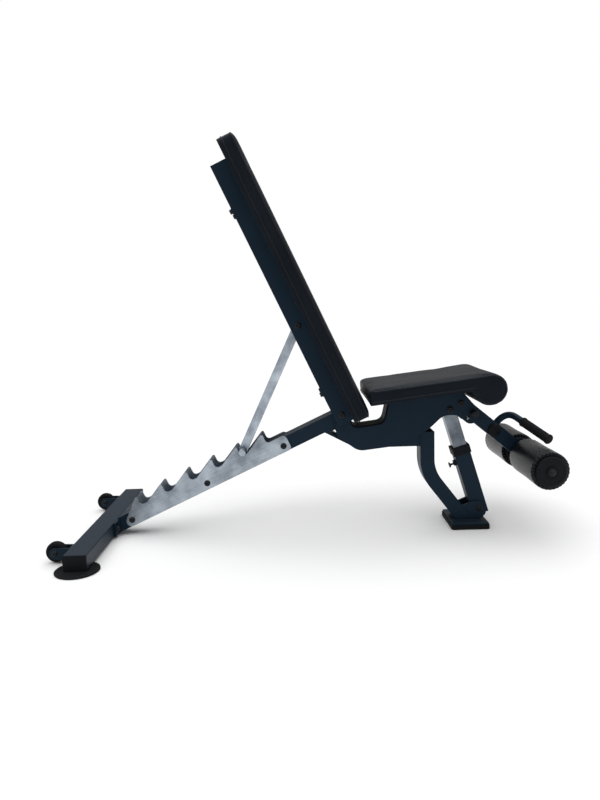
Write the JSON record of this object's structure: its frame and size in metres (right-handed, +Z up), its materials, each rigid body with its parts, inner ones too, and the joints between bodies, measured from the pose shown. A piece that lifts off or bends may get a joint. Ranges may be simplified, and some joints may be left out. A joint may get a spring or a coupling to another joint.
{
  "type": "adjustable weight bench",
  "caption": "Weight bench with a reclining backrest held by a strut in a toothed ladder, a tilting seat on a telescoping post, and a leg arm with foam rollers and a handle.",
  "frame": {"origin": "centre of the bounding box, on the floor", "axes": "+X along the bench towards the leg rollers, +Y to the left of someone facing the rollers, +Z up"},
  "size_m": [1.3592, 0.68, 1.0826],
  "materials": {
    "frame_paint": "satin",
    "zinc": "brushed",
    "black_steel": "satin",
    "black_plastic": "matte",
    "rubber": "matte",
    "vinyl": "satin",
    "board": "matte"
  },
  "bodies": {
    "base": {"rear_crossbar": "frame_paint", "crossbar_cap_near": "black_plastic", "crossbar_cap_far": "black_plastic", "rear_foot_near": "rubber", "rear_foot_far": "rubber", "wheel_bracket_near": "frame_paint", "wheel_bracket_far": "frame_paint", "wheel_bolt_near": "black_steel", "wheel_bolt_far": "black_steel", "main_tube": "frame_paint", "flange_bolt_near": "black_steel", "flange_bolt_far": "black_steel", "ladder_plate_near": "zinc", "ladder_plate_far": "zinc", "ladder_bolt_1": "black_steel", "ladder_bolt_2": "black_steel", "ladder_bolt_3": "black_steel", "spine_link": "frame_paint", "lower_tube": "frame_paint", "front_leg": "frame_paint", "foot_plate": "frame_paint", "foot_rubber": "rubber", "post_ear_near": "frame_paint", "post_ear_far": "frame_paint", "post_lower_bolt": "black_steel", "main_axle": "black_steel"},
    "wheel_near": {"wheel_near": "rubber"},
    "wheel_far": {"wheel_far": "rubber"},
    "backrest": {"backrest_frame": "frame_paint", "backrest_shell": "board", "backrest_pad": "vinyl", "strut_bolt": "black_steel"},
    "strut": {"strut_tube": "zinc", "strut_pin": "zinc"},
    "seat_carriage": {"side_plate_near": "frame_paint", "side_plate_far": "frame_paint", "notch_strip": "black_plastic", "seat_strap_rear": "frame_paint", "seat_strap_front": "frame_paint", "seat_board": "board", "seat_pad": "vinyl", "post_upper_bolt": "black_steel", "arm_pivot_bolt": "black_steel"},
    "post_outer": {"post_outer_tube": "frame_paint", "post_collar": "black_plastic"},
    "post_inner": {"post_inner_tube": "zinc"},
    "post_pin": {"post_pull_pin": "black_steel"},
    "leg_arm": {"leg_arm": "frame_paint", "roller_axle": "black_steel", "handle_pipe": "frame_paint", "handle_grip": "rubber", "handle_bolt": "black_plastic"},
    "arm_pin": {"arm_lock_pin": "black_steel"},
    "roller_near": {"roller_foam_near": "vinyl", "roller_cap_near": "black_plastic", "roller_inner_cap_near": "black_plastic"},
    "roller_far": {"roller_foam_far": "vinyl", "roller_cap_far": "black_plastic", "roller_inner_cap_far": "black_plastic"}
  },
  "joints": [
    {"name": "wheel_near_spin", "type": "hinge", "parent": "base", "child": "wheel_near", "pos_m": [-0.65264, -0.221, 0.029], "axis": [0, 1, 0], "continuous": true},
    {"name": "wheel_far_spin", "type": "hinge", "parent": "base", "child": "wheel_far", "pos_m": [-0.65264, 0.221, 0.029], "axis": [0, 1, 0], "continuous": true},
    {"name": "backrest_recline", "type": "hinge", "parent": "base", "child": "backrest", "pos_m": [0.10537, 0, 0.33793], "axis": [0, -1, 0], "range_deg": [0, 63.2]},
    {"name": "strut_swing", "type": "hinge", "parent": "backrest", "child": "strut", "pos_m": [-0.00855, 0, 0.5879], "axis": [0, 1, 0], "range_deg": [0, 89]},
    {"name": "seat_tilt", "type": "hinge", "parent": "base", "child": "seat_carriage", "pos_m": [0.10537, 0, 0.33793], "axis": [0, -1, 0], "range_deg": [0, 13]},
    {"name": "post_swing", "type": "hinge", "parent": "base", "child": "post_outer", "pos_m": [0.49836, 0, 0.0495], "axis": [0, 1, 0], "range_deg": [0, 2.4]},
    {"name": "post_slide", "type": "slide", "parent": "post_outer", "child": "post_inner", "axis": [-0.2889, 0, 0.9573], "range_m": [0, 0.0703]},
    {"name": "post_pin_pull", "type": "slide", "parent": "post_outer", "child": "post_pin", "axis": [-0.9573, 0, -0.2889], "range_m": [0, 0.008], "stiffness_N_per_m": 600, "springref_m": -0.01},
    {"name": "arm_swing", "type": "hinge", "parent": "seat_carriage", "child": "leg_arm", "pos_m": [0.44127, 0, 0.35789], "axis": [0, 1, 0], "range_deg": [0, 28]},
    {"name": "arm_pin_pull", "type": "slide", "parent": "seat_carriage", "child": "arm_pin", "axis": [0, -1, 0], "range_m": [0, 0.011], "stiffness_N_per_m": 600, "springref_m": -0.01},
    {"name": "roller_near_spin", "type": "hinge", "parent": "leg_arm", "child": "roller_near", "pos_m": [0.62964, -0.125, 0.19983], "axis": [0, 1, 0], "continuous": true},
    {"name": "roller_far_spin", "type": "hinge", "parent": "leg_arm", "child": "roller_far", "pos_m": [0.62964, 0.125, 0.19983], "axis": [0, 1, 0], "continuous": true}
  ],
  "couplings": [
    {"joint": "strut_swing", "follows": "backrest_recline", "ratio": 1.3985},
    {"joint": "post_swing", "follows": "seat_tilt", "ratio": 0.1586},
    {"joint": "post_slide", "follows": "seat_tilt", "m_per_rad": 0.30081}
  ]
}
